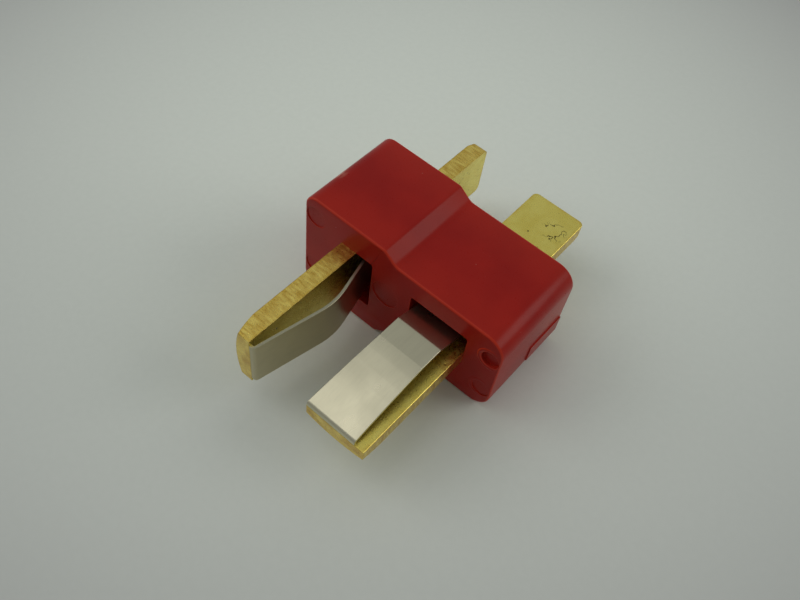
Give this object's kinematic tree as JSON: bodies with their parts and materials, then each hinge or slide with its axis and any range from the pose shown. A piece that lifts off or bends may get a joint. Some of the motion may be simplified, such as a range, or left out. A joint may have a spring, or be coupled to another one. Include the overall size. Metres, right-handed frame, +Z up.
{
  "type": "two-blade battery plug",
  "caption": "Male battery lead plug: a stepped moulded housing carries gold-plated bar contacts set at right angles, each with a bowed leaf spring on its blade and a solder tab behind.",
  "frame": {"origin": "on the underside, below the middle of the whole plug", "axes": "+X across the housing from the vertical contact to the horizontal one, +Y from the blades to the solder tabs, +Z up"},
  "size_m": [0.0161, 0.0232, 0.0088],
  "materials": {
    "housing_nylon": "red moulded nylon, fine satin",
    "gold_plated_brass": "bright gold plating with fine milling lines, pits and scratches",
    "spring_steel": "plain rolled spring strip, softly brushed"
  },
  "bodies": {
    "root": {"housing": "housing_nylon", "vertical_contact": "gold_plated_brass", "horizontal_contact": "gold_plated_brass", "vertical_spring": "spring_steel", "horizontal_spring": "spring_steel"}
  },
  "joints": []
}
